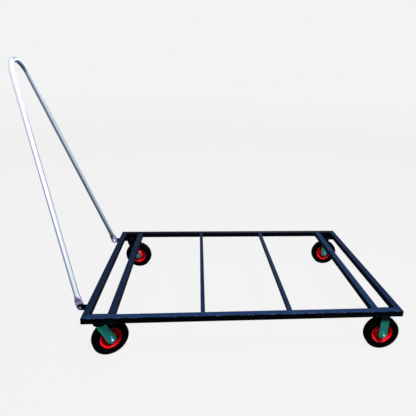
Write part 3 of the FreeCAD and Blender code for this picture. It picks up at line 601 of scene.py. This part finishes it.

# ------------------------------------------------------------------------------- forks
# Each fork is one piece of 4 mm steel pressed to a U, with a shallow panel sunk into each
# leg, then zinc plated and passivated to a deep green.  The rear forks' upper ends and the
# insides of the front ones are painted near black as painted shade from the frame and crown.


def fork_grid(rise, crown_half, trail, wheel_up, leg_half, half_gap, sheet_thick, bend):
    """Grid of a pressed fork: a thin rounded section carried from one leg's tip over the crown.

    Each station is a level slice of the leg's outline, which is bounded by the lines from
    the crown's corners tangent to the circle round the axle, and by that circle below.  The
    stations then follow the bend's quarter circle and the crown, and the other leg mirrors
    the first.  The section sinks by the panel's depth between its two edges.
    """
    middle = half_gap + sheet_thick / 2
    mid_bend = bend - sheet_thick / 2
    knee = rise - sheet_thick / 2 - mid_bend

    def tangent(corner_x, sign):
        """Slope and end of the line from a crown corner to the axle's circle."""
        dx, dz = trail - corner_x, wheel_up - knee
        distance = math.hypot(dx, dz)
        angle = math.atan2(dz, dx) + sign * math.asin(leg_half / distance)
        length = math.sqrt(distance**2 - leg_half**2)
        return math.cos(angle) / math.sin(angle), knee + length * math.sin(angle)

    slope_back, end_back = tangent(-crown_half, -1)
    slope_fore, end_fore = tangent(crown_half, 1)
    turn = np.linspace(0, np.pi / 2, 15)
    levels = np.concatenate([wheel_up - leg_half * np.cos(turn), np.linspace(wheel_up, knee, 26)[1:]])
    arc = np.sqrt(np.clip(leg_half**2 - (levels - wheel_up) ** 2, 0, None))
    left = np.where(levels < end_back, trail - arc, -crown_half + (levels - knee) * slope_back)
    right = np.where(levels < end_fore, trail + arc, crown_half + (levels - knee) * slope_fore)
    folding = np.linspace(0, np.pi / 2, 9)[1:]
    across_top = np.linspace(-middle + mid_bend, middle - mid_bend, 9)[1:-1]
    y = np.concatenate([np.full(len(levels), -middle), -middle + mid_bend - mid_bend * np.cos(folding),
                        across_top])
    z = np.concatenate([levels, knee + mid_bend * np.sin(folding),
                        np.full(len(across_top), rise - sheet_thick / 2)])
    facing = np.concatenate([np.zeros(len(levels)), folding, np.full(len(across_top), np.pi / 2)])
    x_left = np.concatenate([left, np.full(len(folding) + len(across_top), -crown_half)])
    x_right = np.concatenate([right, np.full(len(folding) + len(across_top), crown_half)])
    mirror = slice(len(levels) + len(folding) - 1, None, -1)
    y, facing = np.concatenate([y, -y[mirror]]), np.concatenate([facing, np.pi - facing[mirror]])
    z, x_left, x_right = (np.concatenate([part, part[mirror]]) for part in (z, x_left, x_right))
    samples, panel_depth = 33, 0.0011
    share = np.concatenate([np.linspace(-1, 1, samples), np.linspace(1, -1, samples)])
    face = np.repeat([0.5, -0.5], samples)
    round_off = np.clip((np.abs(share) - 0.94) / 0.06, 0, 1)
    face = face * np.sqrt(np.clip(1 - round_off**2, 0, 1))
    panel = np.clip((0.84 - np.abs(share)) / 0.14, 0, 1)
    panel = panel * panel * (3 - 2 * panel)
    on_leg = np.clip((knee - z) / 0.012, 0, 1) * np.clip((z - wheel_up + leg_half) / 0.02, 0, 1)
    sink = panel_depth * on_leg[:, None] * panel[None]
    off = face[None] * sheet_thick - sink
    x = (x_left + x_right)[:, None] / 2 + (x_right - x_left)[:, None] / 2 * share[None]
    points = np.stack([x, y[:, None] - off * np.cos(facing)[:, None],
                       z[:, None] + off * np.sin(facing)[:, None]], axis=-1)
    points = np.concatenate([points, points[:, :1]], axis=1)
    rims = np.clip((np.abs(share) - 0.8) / 0.15, 0, 1)
    rims = np.append(rims, rims[0])
    return points, {"corner": np.tile(rims, (len(points), 1))}


def green_zinc():
    """Zinc plate under a deep green chromate: a dark teal metal that shifts towards blue in
    broad stains, lighter and greener where the pressed edges have been rubbed, and painted
    near black and less metallic as painted shade where the frame and crown shade it."""
    material, tree, shader = start_material("green_passivated_zinc_on_pressed_steel",
                                            {"Specular IOR Level": 0.1, "Coat Weight": 0.05,
                                             "Coat Roughness": 0.2})
    place = add_node(tree, "TexCoord")
    stain = add_node(tree, "TexNoise", {"Scale": 17.0, "Detail": 3.0, "Distortion": 0.4},
                     {"Vector": place["Object"]})[0]
    stain = add_node(tree, "MapRange", {"From Min": 0.4, "From Max": 0.62}, {"Value": stain})[0]
    base = add_node(tree, "Mix", {"data_type": "RGBA", 6: srgb("#1f9a70"), 7: srgb("#297f88")}, {0: stain})[2]
    rims = add_node(tree, "Attribute", {"attribute_name": "corner"})["Fac"]
    rims = add_node(tree, "Math", {"operation": "MULTIPLY", 1: 0.4}, {0: rims})[0]
    base = add_node(tree, "Mix", {"data_type": "RGBA", 7: srgb("#30b080")}, {0: rims, 6: base})[2]
    # Painted shade: the depth value makes the fork near black and less metallic under the frame.
    painted_fork_shade = add_node(tree, "Attribute", {"attribute_name": "depth"})["Fac"]
    base = add_node(tree, "Mix", {"data_type": "RGBA", 7: srgb("#020405")}, {0: painted_fork_shade, 6: base})[2]
    metal = add_node(tree, "MapRange", {"To Min": 0.6, "To Max": 0.0}, {"Value": painted_fork_shade})[0]
    feed(tree, shader, {"Metallic": metal})
    grain = add_node(tree, "TexNoise", {"Scale": 320.0, "Detail": 3.0}, {"Vector": place["Object"]})[0]
    haze = add_node(tree, "MapRange", {"To Min": 0.26, "To Max": 0.46}, {"Value": grain})[0]
    relief = add_node(tree, "Bump", {"Strength": 0.1, "Distance": 0.0005}, {"Height": grain})[0]
    feed(tree, shader, {"Base Color": base, "Roughness": haze, "Normal": relief})
    return material


chromate = green_zinc()
leg_half, half_gap, sheet_thick, bend_radius, crown_half = 0.026, 0.028, 0.004, 0.006, 0.027
# How far down from the crown the painted shade reaches, and the length over which it fades.
front_shade_drop, front_shade_fade = 0.07, 0.02
rear_inner_shade_drop, rear_outer_shade_drop, rear_shade_fade = 0.066, 0.046, 0.014
wheels = {}
for side_name, side in (("left", -1), ("right", 1)):
    spin = joints["wheel_spin_front_" + side_name]
    swivel = joints["swivel_" + side_name]
    hub, post = np.array(spin["pos_m"]), np.array(swivel["pos_m"])
    trail = math.hypot(hub[0] - post[0], hub[1] - post[1])
    forward = np.array([hub[0] - post[0], hub[1] - post[1], 0]) / trail
    outward = np.array([-forward[1], forward[0], 0]) * side
    crown_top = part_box("swivel_fork_" + side_name)[1][2]
    grid, extra = fork_grid(crown_top, crown_half, trail, hub[2], leg_half, half_gap, sheet_thick,
                            bend_radius)
    # Painted shade on the front fork's inner leg and crown, fading out below the crown.
    front_leg_shade = np.clip((grid[..., 2] - crown_top + front_shade_drop) / front_shade_fade, 0, 1)
    extra["depth"] = np.where(grid[..., 1] < half_gap, front_leg_shade, 0)
    grid = seat(grid, (post[0], post[1], 0), forward, outward)
    build("pressed_swivel_fork_" + side_name, [grid], chromate, "swivel_" + side_name,
          ["swivel_fork_" + side_name], extra)
    wheels["front_" + side_name] = (hub, forward, outward, "swivel_" + side_name)
    hub = np.array(joints["wheel_spin_rear_" + side_name]["pos_m"])
    outward = np.array([0.0, side, 0.0])
    crown_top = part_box("fixed_fork_" + side_name)[1][2]
    grid, extra = fork_grid(crown_top, leg_half, 0.0, hub[2], leg_half, half_gap, sheet_thick, bend_radius)
    # Painted shade on the rear fork's upper end, reaching lower on the inner leg.
    rear_shade_drop = np.where(grid[..., 1] < half_gap, rear_inner_shade_drop, rear_outer_shade_drop)
    extra["depth"] = np.clip((grid[..., 2] - crown_top + rear_shade_drop) / rear_shade_fade, 0, 1)
    grid = seat(grid, (hub[0], hub[1], 0), x_axis, outward)
    build("pressed_fixed_fork_" + side_name, [grid], chromate, "frame",
          ["fixed_fork_" + side_name], extra)
    wheels["rear_" + side_name] = (hub, np.array(x_axis), outward, "frame")

# ------------------------------------------------------------------------------- tyres
# Solid black rubber, compression moulded, with small staggered lugs across the tread and
# moulded rings on the walls.  It is stretched over the rim and held by its flanges.


tread_low, tread_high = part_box("tyre_rear_left")
wheel_radius = (tread_high[2] - tread_low[2]) / 2


def tyre_grid():
    """Grid of a tyre turned about Y, with lugs.

    The section is the tread, two rounded shoulders, the walls with two raised rings each,
    and the seat.  Grooves cut the tread by a smooth wave round the wheel, half a pitch out
    of step from one side to the other, and two thin grooves run round it.
    """
    lugs, samples, lug_height, ring_height = 50, 10, 0.0024, 0.0007
    half, seat_half, seat_radius, lip = 0.025, 0.0158, 0.0532, 0.064
    near_side = np.array([(wheel_radius, 0.016), (wheel_radius - 0.0035, 0.023), (wheel_radius - 0.011, half),
                          (0.077, half - 0.001), (0.068, half - 0.002), (lip + 0.0004, 0.0195),
                          (lip - 0.0005, seat_half), (0.0565, 0.0118), (seat_radius, 0.007)])
    corners = np.vstack([near_side[:1] * [1, -1], near_side, near_side[:0:-1] * [1, -1]])
    outline = soften(corners, 0.006, True, 6)
    length = np.concatenate([[0], np.cumsum(np.linalg.norm(np.diff(outline, axis=0), axis=1))])
    even = np.linspace(0, length[-1], 118)
    r, y = np.interp(even, length, outline[:, 0]), np.interp(even, length, outline[:, 1])
    on_wall = (np.abs(y) > 0.02) & (r > 0.07) & (r < wheel_radius - 0.012)
    ring = np.exp(-((r - 0.0745) / 0.0013) ** 2) + np.exp(-((r - 0.0865) / 0.001) ** 2)
    y = y + np.where(on_wall, np.sign(y) * ring_height * (ring - 1), 0)
    angle = np.linspace(0, 2 * np.pi, lugs * samples + 1)
    phase = lugs * angle[None] + np.where(y > 0, 0, np.pi)[:, None] + 70 * y[:, None] * np.sign(y)[:, None]
    groove = np.clip((np.cos(phase) - 0.35) / 0.4, 0, 1)
    groove = groove * groove * (3 - 2 * groove)
    from_middle = np.abs(y)
    shoulder = np.clip((from_middle - 0.0065) / 0.0015, 0, 1)
    rib_groove = np.exp(-((from_middle - 0.0055) / 0.0012) ** 2)
    tread = np.clip((r - (wheel_radius - 0.016)) / 0.006, 0, 1)
    cut = np.maximum(groove * shoulder[:, None], rib_groove[:, None]) * tread[:, None]
    radius = r[:, None] - lug_height * cut
    points = np.stack([radius * np.sin(angle), np.repeat(y[:, None], len(angle), axis=1),
                       radius * np.cos(angle)], axis=-1)
    return points, {"depth": cut}


def moulded_rubber():
    """Black filled rubber from a mould: near black, softly matt with a faint cool sheen,
    and a little grey dust held down in the grooves and over the walls."""
    material, tree, shader = start_material("moulded_black_rubber", {"IOR": 1.52, "Specular IOR Level": 0.02})
    place = add_node(tree, "TexCoord")
    smudge = add_node(tree, "TexNoise", {"Scale": 22.0, "Detail": 5.0}, {"Vector": place["Object"]})[0]
    grooves = add_node(tree, "Attribute", {"attribute_name": "depth"})["Fac"]
    dust = add_node(tree, "Math", {"operation": "MULTIPLY_ADD", 1: 0.35}, {0: grooves, 2: smudge})[0]
    dust = add_node(tree, "MapRange", {"From Min": 0.5, "From Max": 1.1, "To Max": 0.5}, {"Value": dust})[0]
    base = add_node(tree, "Mix", {"data_type": "RGBA", 6: srgb("#010202"), 7: srgb("#080c0d")}, {0: dust})[2]
    matt = add_node(tree, "MapRange", {"To Min": 0.48, "To Max": 0.72}, {"Value": smudge})[0]
    grain = add_node(tree, "TexNoise", {"Scale": 600.0, "Detail": 2.0}, {"Vector": place["Object"]})[0]
    relief = add_node(tree, "Bump", {"Strength": 0.25, "Distance": 0.0004}, {"Height": grain})[0]
    feed(tree, shader, {"Base Color": base, "Roughness": matt, "Normal": relief})
    return material


rubber = moulded_rubber()
tyre_points, tyre_extra = tyre_grid()
for spot, (hub, forward, outward, carrier) in wheels.items():
    grid = seat(tyre_points, hub, forward, outward)
    build("lugged_tyre_" + spot, [grid], rubber, "wheel_" + spot, ["tyre_" + spot], tyre_extra,
          55)

# -------------------------------------------------------------------------------- rims
# Two halves of 2.5 mm steel, pressed to a flange, a seat, a flat channel and a domed hub,
# spot welded back to back and sprayed bright red.


def rim_profile(face):
    """Closed section of a rim half: out from hub to rolled flange, and back one sheet's thickness inside."""
    sheet = 0.0025
    outer = [(0.015, 0.0175), (0.022, 0.0172), (0.031, 0.0138), (0.0385, 0.0045), (0.042, sheet),
             (0.0475, sheet), (0.0502, 0.005), (0.0518, 0.0098), (0.0553, 0.0147), (0.0602, 0.018),
             (0.0628, 0.019), (0.064, 0.0182)]
    inner = [(0.064, 0.0162), (0.0606, 0.0155), (0.0568, 0.0128), (0.0538, 0.0088), (0.053, 0.001),
             (0.051, 0.0), (0.0395, 0.0), (0.0365, 0.002), (0.0292, 0.0112), (0.0215, 0.0147), (0.015, 0.015)]
    return soften(np.array(outer + inner) * [1, face], 0.003, True, 5)


def red_enamel():
    """Bright red stoving enamel on pressed steel: glossy, a touch deeper in broad patches,
    with a thin clear sheen that takes a pink highlight, and painted near black as painted shade in the
    channel round the hub dome."""
    material, tree, shader = start_material("red_stoving_enamel_on_pressed_steel",
                                            {"IOR": 1.5, "Specular IOR Level": 0.08, "Coat Weight": 0.06,
                                             "Coat Roughness": 0.12})
    place = add_node(tree, "TexCoord")
    patch = add_node(tree, "TexNoise", {"Scale": 30.0, "Detail": 4.0}, {"Vector": place["Object"]})[0]
    base = add_node(tree, "Mix", {"data_type": "RGBA", 6: srgb("#ff0618"), 7: srgb("#ea0212")}, {0: patch})[2]
    # Painted shade: the rim's channel is painted near black, in patches.
    channel_shade_mask = add_node(tree, "Attribute", {"attribute_name": "depth"})["Fac"]
    painted_channel_shade = add_node(tree, "Math", {"operation": "MULTIPLY_ADD", 1: 0.25}, {0: patch, 2: channel_shade_mask})[0]
    painted_channel_shade = add_node(tree, "MapRange", {"From Min": 0.3, "From Max": 1.0, "To Max": 0.93},
                     {"Value": painted_channel_shade})[0]
    base = add_node(tree, "Mix", {"data_type": "RGBA", 7: srgb("#1e0103")}, {0: painted_channel_shade, 6: base})[2]
    haze = add_node(tree, "MapRange", {"To Min": 0.22, "To Max": 0.4}, {"Value": patch})[0]
    peel = add_node(tree, "TexNoise", {"Scale": 350.0, "Detail": 2.0}, {"Vector": place["Object"]})[0]
    relief = add_node(tree, "Bump", {"Strength": 0.08, "Distance": 0.0005}, {"Height": peel})[0]
    feed(tree, shader, {"Base Color": base, "Roughness": haze, "Normal": relief})
    return material


red = red_enamel()
# Where the painted shade in the rim's channel is centred, and how wide it spreads.
channel_shade_radius, channel_shade_width = 0.0435, 0.0075
for spot, (hub, forward, outward, carrier) in wheels.items():
    for label, face in (("outer", 1), ("inner", -1)):
        section = rim_profile(face)
        channel_shade_mask = np.exp(-((section[:, 0] - channel_shade_radius) / channel_shade_width) ** 2)[:, None]
        grid = seat(turned(section, 96), hub, forward, outward)
        node = "rim_%s_%s" % (label, spot)
        build("pressed_" + node, [grid], red, "wheel_" + spot, [node], {"depth": channel_shade_mask}, 60)

# --------------------------------------------------------------------- hubs and axles
# A steel hub tube is welded through each rim with a bearing pressed into either end.  The
# wheel turns on a sleeve that an M12 bolt clamps between the fork's legs.
hub_half, hub_radius, edge_round = 0.026, 0.015, 0.0006
bearing_width, bearing_radius, sleeve_fit = 0.014, 0.0125, 0.0081
for spot, (hub, forward, outward, carrier) in wheels.items():
    tube = soften([(bearing_radius, -hub_half), (hub_radius, -hub_half), (hub_radius, hub_half),
                   (bearing_radius, hub_half)], edge_round, True)
    grid = seat(turned(tube, 48), hub, forward, outward)
    build("welded_hub_tube_" + spot, [grid], red, "wheel_" + spot, ["hub_tube_" + spot])
    races = []
    for side in (-1, 1):
        outer_y, inner_y = side * hub_half, side * (hub_half - bearing_width)
        ring = soften([(sleeve_fit, inner_y), (bearing_radius, inner_y), (bearing_radius, outer_y),
                       (sleeve_fit, outer_y)], edge_round, True)
        races.append(seat(turned(ring, 40), hub, forward, outward))
    build("pressed_bearings_" + spot, races, bearing_steel, "wheel_" + spot,
          ["wheel_bearings_" + spot])
    frame["nodes"]["axle_sleeve_" + spot].material_slots[0].material = bearing_steel
axle_radius, axle_flats, axle_pitch = 0.006, 0.019, 0.00175
axle_head, axle_nut, axle_tail, corner_cut = 0.0075, 0.010, 0.004, 0.0013
leg_face = half_gap + sheet_thick
nut_face = leg_face + axle_nut
head = turned(hexagon_profile(axle_flats, -leg_face - axle_head, -leg_face, corner_cut, 0.0), 48, 6)
shank = turned(thread_profile(axle_radius, -leg_face, nut_face + axle_tail, axle_pitch), 32)
nut = turned(hexagon_profile(axle_flats, leg_face, nut_face, corner_cut, corner_cut), 48, 6)
rear_bolts, rear_nuts = [], []
for spot, (hub, forward, outward, carrier) in wheels.items():
    bolt_parts = [seat(part, hub, forward, outward) for part in (head, shank)]
    nut_parts = [seat(nut, hub, forward, outward)]
    if carrier == "frame":
        rear_bolts += bolt_parts
        rear_nuts += nut_parts
    else:
        for node, parts in (("axle_bolt_" + spot, bolt_parts), ("axle_nut_" + spot, nut_parts)):
            build("hex_" + node, parts, bolt_zinc, carrier, [node], crease=25)
for node, parts in (("axle_bolts_rear", rear_bolts), ("axle_nuts_rear", rear_nuts)):
    build("hex_" + node, parts, bolt_zinc, "frame", [node], crease=25)

# --------------------------------------------------------------------- floor and light
# A plain pale studio: a floor that curves up into a dome, which the camera alone sees, so
# that it neither lights nor mirrors in the cart.  A softbox high at the front and to the
# right is the key, and the air about is bright overhead, bluish at the sides and dark below.


def studio_grid():
    """Grid of the studio: a flat disc that turns up through a quarter circle into a dome.

    The dome is a quarter ellipse from the wall's foot to the crown over the middle.
    """
    flat, curve, crown = 9.0, 3.0, 9.0
    turn = np.linspace(0, np.pi / 2, 17)
    radius = np.concatenate([np.linspace(0, flat, 9), flat + curve * np.sin(turn[1:]),
                             (flat + curve) * np.cos(turn[1:])])
    height = np.concatenate([np.zeros(9), curve * (1 - np.cos(turn[1:])), curve + crown * np.sin(turn[1:])])
    angle = np.linspace(0, 2 * np.pi, 65)
    return np.stack([radius[:, None] * np.sin(angle), radius[:, None] * np.cos(angle),
                     np.repeat(height[:, None], len(angle), axis=1)], axis=-1)


studio_points = studio_grid()
rows, columns = studio_points.shape[:2]
index = np.arange(rows * columns).reshape(rows, columns)
quads = np.stack([index[:-1, :-1], index[1:, :-1], index[1:, 1:], index[:-1, 1:]], axis=-1).reshape(-1, 4)
studio_mesh = bpy.data.meshes.new("studio_floor")
studio_mesh.from_pydata(studio_points.reshape(-1, 3).tolist(), [], quads.tolist())
studio_mesh.shade_smooth()
paper, paper_tree, paper_shader = start_material("pale_studio_paper",
                                                 {"Roughness": 1.0, "Specular IOR Level": 0.0,
                                                  "Emission Color": srgb("#f3f3f3")})
facing = add_node(paper_tree, "NewGeometry")["Normal"]
facing_up = add_node(paper_tree, "SeparateXYZ", links={0: facing})["Z"]
floor_share = add_node(paper_tree, "MapRange", {"From Min": 0.7, "From Max": 1.0}, {"Value": facing_up})[0]
shown = add_node(paper_tree, "Mix", {"data_type": "RGBA", 6: srgb("#000000"), 7: srgb("#262626")},
                 {0: floor_share})[2]
glow = add_node(paper_tree, "MapRange", {"To Min": 1.0, "To Max": 0.969}, {"Value": floor_share})[0]
feed(paper_tree, paper_shader, {"Base Color": shown, "Emission Strength": glow})
studio_mesh.materials.append(paper)
studio = bpy.data.objects.new("studio_floor", studio_mesh)
bpy.context.scene.collection.objects.link(studio)
for kind in ("diffuse", "glossy", "transmission", "shadow"):
    setattr(studio, "visible_" + kind, False)


def soft_light(name, place, target, size, power, colour):
    """A rectangular area light at place, turned towards target."""
    lamp = bpy.data.lights.new(name, "AREA")
    lamp.shape = "RECTANGLE"
    lamp.size, lamp.size_y = size
    lamp.energy = power
    lamp.color = srgb(colour)[:3]
    holder = bpy.data.objects.new(name, lamp)
    holder.location = place
    holder.rotation_euler = (Vector(target) - Vector(place)).to_track_quat("-Z", "Y").to_euler()
    bpy.context.scene.collection.objects.link(holder)


soft_light("front_key_softbox", (1.8, -2.5, 4.9), (0.2, 0.0, 0.1), (1.3, 1.3), 440, "#fffdf8")
soft_light("overhead_softbox", (0.2, 0.4, 4.6), (0.2, 0.4, 0.0), (4.0, 3.0), 90, "#f6f9ff")
soft_light("rear_fill_softbox", (1.5, 6.0, 3.0), (0.2, 0.0, 0.3), (2.5, 1.5), 40, "#e8eefc")
soft_light("front_low_softbox", (-1.2, -6.5, 3.4), (-0.6, 0.0, 0.9), (5.0, 2.0), 60, "#f6f8ff")
world = bpy.data.worlds.new("studio_air")
world.use_nodes = True
air = world.node_tree
direction = add_node(air, "TexCoord")["Generated"]
compass = add_node(air, "SeparateXYZ", links={0: direction})
height = add_node(air, "MapRange", {"From Min": -1.0, "From Max": 1.0}, {"Value": compass["Z"]})[0]
bands = {"left": [(0.0, "#26323a"), (0.1, "#3f4850"), (0.22, "#77758a"), (0.34, "#8f8ca6"), (0.47, "#a3a9cb"),
                  (0.54, "#e8f0fa"), (0.72, "#ffffff"), (1.0, "#ffffff")],
         "right": [(0.0, "#26323a"), (0.16, "#8296a6"), (0.3, "#b2c9d0"), (0.44, "#dceff2"),
                   (0.54, "#eef8fa"), (0.72, "#ffffff"), (1.0, "#ffffff")],
         "back": [(0.0, "#26323a"), (0.2, "#4b4a5c"), (0.4, "#7f86a6"), (0.49, "#a9b6d6"), (0.54, "#7f97bd"),
                  (0.72, "#b9c9e0"), (0.9, "#ffffff")]}
skies = {}
for side_name, stops in bands.items():
    skies[side_name] = add_node(air, "ValToRGB", links={0: height})[0]
    shades = skies[side_name].node.color_ramp.elements
    for position, colour in stops:
        shades.new(position).color = srgb(colour)
    shades.remove(shades[-1])
rightward = add_node(air, "MapRange", {"From Min": 0.0, "From Max": 0.6}, {"Value": compass["X"]})[0]
backward = add_node(air, "MapRange", {"From Min": 0.3, "From Max": 0.8}, {"Value": compass["Y"]})[0]
around = add_node(air, "Mix", {"data_type": "RGBA"}, {0: rightward, 6: skies["left"], 7: skies["right"]})[2]
around = add_node(air, "Mix", {"data_type": "RGBA"}, {0: backward, 6: around, 7: skies["back"]})[2]
feed(air, air.nodes["Background"], {"Color": around})
world.cycles_visibility.diffuse = False
bpy.context.scene.world = world
bpy.context.scene.view_settings.view_transform = "Standard"
